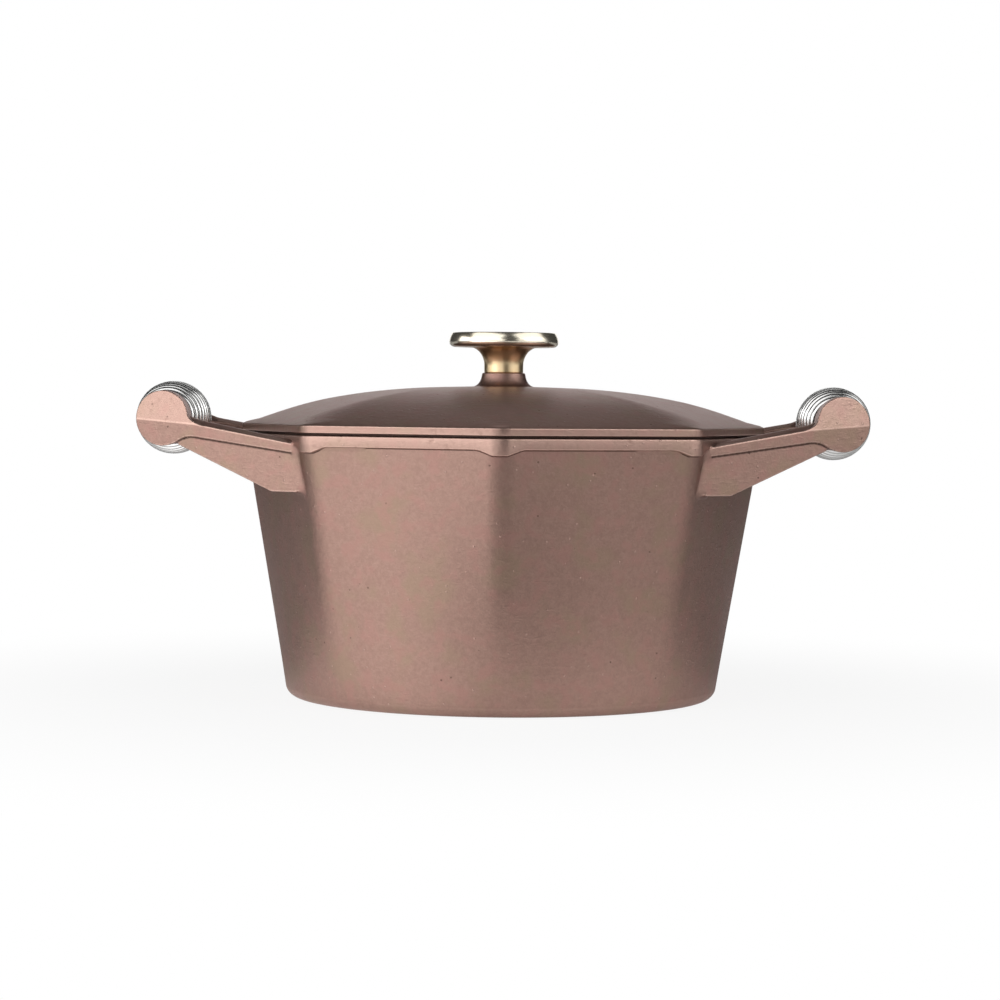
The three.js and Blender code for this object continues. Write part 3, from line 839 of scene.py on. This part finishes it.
def lidRings():
    lipOut = rimFlat - pot["bandProud"] - pot["wall"] - lid["lipClearance"]
    lipIn = lipOut - lid["lipThickness"]
    lipCorner = pot["corner"] - pot["wall"] - lid["lipClearance"]
    lipLow = pot["height"] - lid["lipDepth"]
    seat = pot["height"] + lid["seatGap"]
    corner = pot["bandCorner"]
    rings = [circle(lid["hole"], padHeight), circle(lid["padRadius"] - 0.4, padHeight),
             circle(lid["padRadius"], padHeight + 0.3), circle(lid["padRadius"] + 3, padHeight + 0.9)]
    rings += [domeRing(mixed(22, lipIn - 6, step / 12), lid["thickness"]) for step in range(13)]
    underEdge = domeHeight(lipIn) - lid["thickness"]
    rim = [
        (lipIn - 2.0, lipCorner - 4.5, underEdge - 0.2),
        (lipIn - 0.5, lipCorner - 4.2, underEdge - 1.2),
        (lipIn, lipCorner - 4, underEdge - 3),
        (lipIn, lipCorner - 4, lipLow + 0.8),
        (lipIn + 0.8, lipCorner - 3.2, lipLow),
        (lipOut - 0.8, lipCorner - 0.8, lipLow),
        (lipOut, lipCorner, lipLow + 0.8),
        (lipOut, lipCorner, seat - 0.2),
        (lipOut + 0.2, lipCorner, seat),
        (rimFlat - lid["relief"], corner, seat),
        (rimFlat - lid["relief"], corner, edgeBottom),
    ]
    rings += [octagon(*facts) for facts in rim]
    edge = lid["edgeLowRound"]
    for angle in arc(-90, 0, 4):
        inset = edge * (1 - math.cos(angle))
        rings.append(octagon(rimFlat - inset, corner - inset, edgeBottom + edge * (1 + math.sin(angle))))
    slope = math.degrees(math.atan(lid["domePower"] * lid["crownRise"] / rimFlat))
    for angle in arc(0, 90 - slope, 4):
        inset = lid["edgeRound"] * (1 - math.cos(angle))
        height = edgeTop - lid["edgeRound"] * (0.75 - math.sin(angle))
        rings.append(octagon(rimFlat - inset, corner - inset, height))
    start = rimFlat - 2.2
    rings += [octagon(start, corner - 2.5, domeHeight(start))]
    rings += [domeRing(mixed(rimFlat - 6, 34, step / 26)) for step in range(27)]
    rings += [circle(radius, domeHeight(radius)) for radius in (27, 22)]
    flare = lid["bossFoot"] + 1.5 - lid["bossRadius"]
    for angle in arc(0, 78, 10):            # hollow flare from the dome up to the boss
        rise = (lid["bossHeight"] - 0.6) * (1 - math.cos(angle)) ** 1.15 * 1.2
        rings.append(circle(lid["bossRadius"] + flare * (1 - math.sin(angle)), crownTop - 0.05 + rise))
    rings += [circle(lid["bossRadius"], bossTop - 0.6), circle(lid["bossRadius"] - 0.2, bossTop - 0.15)]
    rings += [circle(lid["bossRadius"] - 0.6, bossTop), circle(lid["hole"], bossTop)]
    return rings


lidSkin = markEdges(octagonSkin(lidRings(), closed=True))
for vert in lidSkin.verts:                  # painted shadow inside the gap under the edge
    if pot["height"] - 1 < vert.co.z / mm < edgeBottom + 0.1:
        vert[lidSkin.verts.layers.float["edge"]] = -1.0
addPiece("lid_dome", lidSkin, "lid", "lid", ["lid_casting"], sharp=50)


# knob, screw and washer, all turned about the pot's axis
knob = {
    "height": 19.5,
    "radius": 27.2,
    "neck": 9.7,
    "neckHeight": 3.4,
    "flare": 7.6,                           # the hollow under the disc reaches this far out
    "discThickness": 7.1,
    "widest": 2.7,                          # above the disc's underside, the rim leans in from there
    "lowEdge": 2.8,
    "lean": 1.3,
    "topEdge": 0.55,
    "topAngle": 28,                         # degrees, where the rim's side turns into the top
    "holeDepth": 11.3,
    "segments": 128,
}
knobBottom = bossTop + lid["seatGap"]
knobTop = knobBottom + knob["height"]


def turned(outline, segments):              # outline of (radius, height) in millimetres
    bm = bmesh.new()
    verts = [bm.verts.new((radius * mm, 0, height * mm)) for radius, height in outline]
    edges = [bm.edges.new(pair) for pair in zip(verts, verts[1:])]
    bmesh.ops.spin(bm, geom=verts + edges, cent=(0, 0, 0), axis=(0, 0, 1), angle=2 * math.pi,
                   steps=segments, use_merge=True)
    bmesh.ops.remove_doubles(bm, verts=bm.verts, dist=0.00001)
    bmesh.ops.recalc_face_normals(bm, faces=bm.faces)
    return bm


def knobOutline():
    discLow = knobTop - knob["discThickness"]
    foot = bossTop + 0.02                   # the neck stands on the boss
    neck, hole = knob["neck"], lid["hole"]
    holeTop = knobBottom + knob["holeDepth"]
    points = [(0, holeTop), (hole, holeTop), (hole, foot), (neck - 0.5, foot)]
    straightTop = knobBottom + knob["neckHeight"]
    points += [(neck - 0.1, foot + 0.1), (neck, foot + 0.3), (neck, foot + 0.5), (neck, straightTop - 0.4)]
    for angle in arc(0, 86, 16):            # hollow flare, a stretched quarter circle
        out = knob["flare"] * (1 - math.cos(angle))
        points.append((neck + out, straightTop + (discLow - straightTop) * math.sin(angle)))
    points.append((20.0, discLow))
    for angle in arc(-90, 0, 9):
        points.append((knob["radius"] - knob["lowEdge"] * (1 - math.cos(angle)),
                       discLow + knob["widest"] * (1 + math.sin(angle))))
    edge = knob["topEdge"]
    topAngle = math.radians(knob["topAngle"])
    edgeMiddle = knob["radius"] - knob["lean"] - edge * math.cos(topAngle)
    leanTop = knobTop - edge * (1 - math.sin(topAngle))
    leanLow = discLow + knob["widest"]
    for step in range(1, 9):                # the rim's side, leaning in towards the top
        share = step / 9
        points.append((knob["radius"] - knob["lean"] * share ** 1.7, mixed(leanLow, leanTop, share)))
    for angle in arc(knob["topAngle"], 90, 6):
        points.append((edgeMiddle + edge * math.cos(angle), knobTop - edge * (1 - math.sin(angle))))
    points += [(18.0, knobTop), (8.0, knobTop), (0, knobTop)]
    return points


washer = {"radius": 8.5, "thickness": 1.2, "edge": 0.25}
screw = {
    "radius": 3.0,
    "grip": 11.0,                           # up into the knob
    "head": 6.0,
    "headHeight": 3.4,
    "headSide": 0.7,                        # straight side above the button's curve
    "headCurve": 2.6,
    "mouth": 3.1,
    "socket": 2.3,
    "socketDepth": 2.0,
}
washerTop = padHeight - lid["seatGap"]
washerLow = washerTop - washer["thickness"]
headTop = washerLow - lid["seatGap"]


def washerOutline():
    hole, radius, edge = lid["hole"], washer["radius"], washer["edge"]
    return [(hole, washerLow), (radius - edge, washerLow), (radius, washerLow + edge),
            (radius, washerTop - edge), (radius - edge, washerTop), (hole, washerTop), (hole, washerLow)]


def screwShape():                           # button head with a hexagon socket, shank up into the knob
    radius, head, side = screw["radius"], screw["head"], screw["headSide"]
    headLow = headTop - screw["headHeight"]
    shankTop = knobBottom + screw["grip"]
    outline = [(screw["mouth"], headLow), (screw["mouth"] + 0.5, headLow)]
    for angle in arc(20, 90, 6):
        out = head - screw["headCurve"] * (1 - math.sin(angle))
        outline.append((out, headTop - side - (screw["headHeight"] - side) * math.cos(angle)))
    outline += [(head, headTop - 0.2), (head - 0.2, headTop), (radius, headTop)]
    outline += [(radius, shankTop - 0.6), (radius - 0.6, shankTop), (0, shankTop)]
    bm = turned(outline, 48)
    mouth = [edge for edge in bm.edges if edge.is_boundary]
    stand = Matrix.Translation((0, 0, headLow * mm))
    socket = bmesh.ops.create_circle(bm, segments=6, radius=screw["socket"] * mm, matrix=stand)["verts"]
    socketLoop = list({edge for vert in socket for edge in vert.link_edges})
    bmesh.ops.bridge_loops(bm, edges=mouth + socketLoop)
    grown = bmesh.ops.extrude_edge_only(bm, edges=socketLoop)["geom"]
    deep = [part for part in grown if isinstance(part, bmesh.types.BMVert)]
    bmesh.ops.translate(bm, verts=deep, vec=(0, 0, screw["socketDepth"] * mm))
    bmesh.ops.contextual_create(bm, geom=deep)
    bmesh.ops.recalc_face_normals(bm, faces=bm.faces)
    return bm


addPiece("brass_knob", turned(knobOutline(), knob["segments"]), "brass", "lid", ["lid_knob"])
addPiece("washer", turned(washerOutline(), 64), "screw", "lid", ["knob_washer"], sharp=30)
addPiece("screw", screwShape(), "screw", "lid", ["knob_screw"], sharp=30)


# stage: pale floor, white panel far behind, soft lamps, dim room
stage = {                                   # metres
    "floorSize": 40.0,
    "floorDrop": 0.0002,
    "panelBack": 2.6,
    "panelSize": (2.0, 1.4),
    "tone": 0.80,
    "room": 0.05,
}


def paleStage(name, shown, mirrored):       # white to the camera, as bright as given in reflections
    material, shader, place = newFinish(name)
    tree = place.tree
    path = tree.nodes.new("ShaderNodeLightPath")
    seen = Wire(tree, path.outputs["Is Camera Ray"])
    mirror = Wire(tree, path.outputs["Is Glossy Ray"])
    shader.inputs["Base Color"].default_value = colour(stage["tone"], stage["tone"], stage["tone"])
    shader.inputs["Roughness"].default_value = 0.9
    shader.inputs["Specular IOR Level"].default_value = 0.0
    shader.inputs["Emission Strength"].default_value = 1.0
    feed(shader, "Emission Color", mirror * mirrored(place))
    white = tree.nodes.new("ShaderNodeEmission")
    white.inputs["Strength"].default_value = 1.0
    mixer = tree.nodes.new("ShaderNodeMixShader")
    tree.links.new((seen * shown(place)).socket, mixer.inputs[0])
    tree.links.new(shader.outputs[0], mixer.inputs[1])
    tree.links.new(white.outputs[0], mixer.inputs[2])
    tree.links.new(mixer.outputs[0], tree.nodes["Material Output"].inputs["Surface"])
    return material


def fromMiddle(place):
    return place.node("ShaderNodeVectorMath", {"operation": "LENGTH"}, {0: place}, 1)


def whiteStrip(place):                      # the strip of floor that the pot mirrors
    across = place.sum("ABSOLUTE", place.part("X"))
    along = place.part("Y")
    width = 0.85 - along.between(-0.30, 0.05) * 0.52 + along.between(0.0, 2.6) * 0.50
    return (1 - (across - width).between(0.0, 0.22)) * along.between(-1.0, -0.75)


def floorShown(place):                      # white, with the pot's soft shadow kept
    return fromMiddle(place).between(0.12, 0.45) * 0.12 + 0.88


def floorMirrored(place):                   # painted glow seen only in reflections: brighter on the lit side, in front and on the left, with a painted shadow under the pot
    across, along = place.part("X"), place.part("Y")
    front = 1 - along.between(-0.25, 0.10)
    left = 1 - across.between(-0.21, -0.03)
    right = across.between(0.06, 0.22)
    close = 1 - fromMiddle(place).between(0.12, 0.28)
    # painted shadow under the pot, seen in reflections only
    under = fromMiddle(place).between(0.102, 0.128) * 0.35 + 0.65
    beside = 1.39 - across.between(-0.06, 0.0) * 0.53 + across.between(0.03, 0.09) * 0.17
    return whiteStrip(place) * under * (front * (left * 1.24 + right * 0.27 + close * beside) + 0.02)


def stagePlate(name, width, depth, matrix, material):
    bm = bmesh.new()
    bmesh.ops.create_grid(bm, x_segments=2, y_segments=2, size=0.5)
    bmesh.ops.scale(bm, vec=(width, depth, 1), verts=bm.verts)
    bmesh.ops.transform(bm, matrix=matrix, verts=bm.verts)
    mesh = bpy.data.meshes.new(name)
    bm.to_mesh(mesh)
    bm.free()
    mesh.materials.append(material)
    plate = bpy.data.objects.new(name, mesh)
    bpy.context.scene.collection.objects.link(plate)
    return plate


floorMiddle = Matrix.Translation((0, 0, -stage["floorDrop"]))
stagePlate("floor", stage["floorSize"], stage["floorSize"], floorMiddle,
           paleStage("floor_white", floorShown, floorMirrored))
panelMiddle = Matrix.Translation((0, stage["panelBack"], stage["panelSize"][1] / 2 - 0.01))
stagePlate("panel", *stage["panelSize"], panelMiddle @ Matrix.Rotation(math.pi / 2, 4, "X"),
           paleStage("panel_white", lambda place: 1.0, lambda place: 1.0))

# turn from the camera and rise in degrees, size in metres, brightness
lamps = {
    "lowLeft": (-36, 12, (2.3, 0.9), 1.25),
    "highLeft": (-41, 40, (1.9, 0.9), 1.4),
    "farLeft": (-62, 13, (1.4, 0.8), 1.5),
    "sideLeft": (-95, 14, (0.7, 0.7), 1.9),
    "lowRight": (63, 12, (2.1, 0.9), 0.8),
    "farRight": (74, 13, (1.7, 0.8), 0.5),
    "highRight": (66, 40, (1.7, 0.9), 1.25),
    "keyRight": (60, 22, (0.4, 0.35), 3.0),
    "highBack": (180, 50, (0.9, 0.5), 0.68),
}
lampAim = Vector((0, 0, 0.12))
lampReach = 1.6


def makeLamp(name, turn, rise, size, brightness):
    turn, rise = math.radians(turn), math.radians(rise)
    away = Vector((math.cos(rise) * math.sin(turn), -math.cos(rise) * math.cos(turn), math.sin(rise)))
    data = bpy.data.lights.new(name, "AREA")
    data.shape = "RECTANGLE"
    data.size, data.size_y = size
    data.energy = brightness * math.pi * size[0] * size[1]
    lamp = bpy.data.objects.new(name, data)
    bpy.context.scene.collection.objects.link(lamp)
    lamp.location = lampAim + away * lampReach
    lamp.rotation_euler = (-away).to_track_quat("-Z", "Y").to_euler()


for lampName, lampFacts in lamps.items():
    makeLamp(lampName, *lampFacts)

world = bpy.data.worlds.new("room")
bpy.context.scene.world = world
world.use_nodes = True
background = world.node_tree.nodes["Background"]
background.inputs["Color"].default_value = colour(1, 1, 1)
background.inputs["Strength"].default_value = stage["room"]
bpy.context.scene.view_settings.view_transform = "Standard"
print("stage lit")
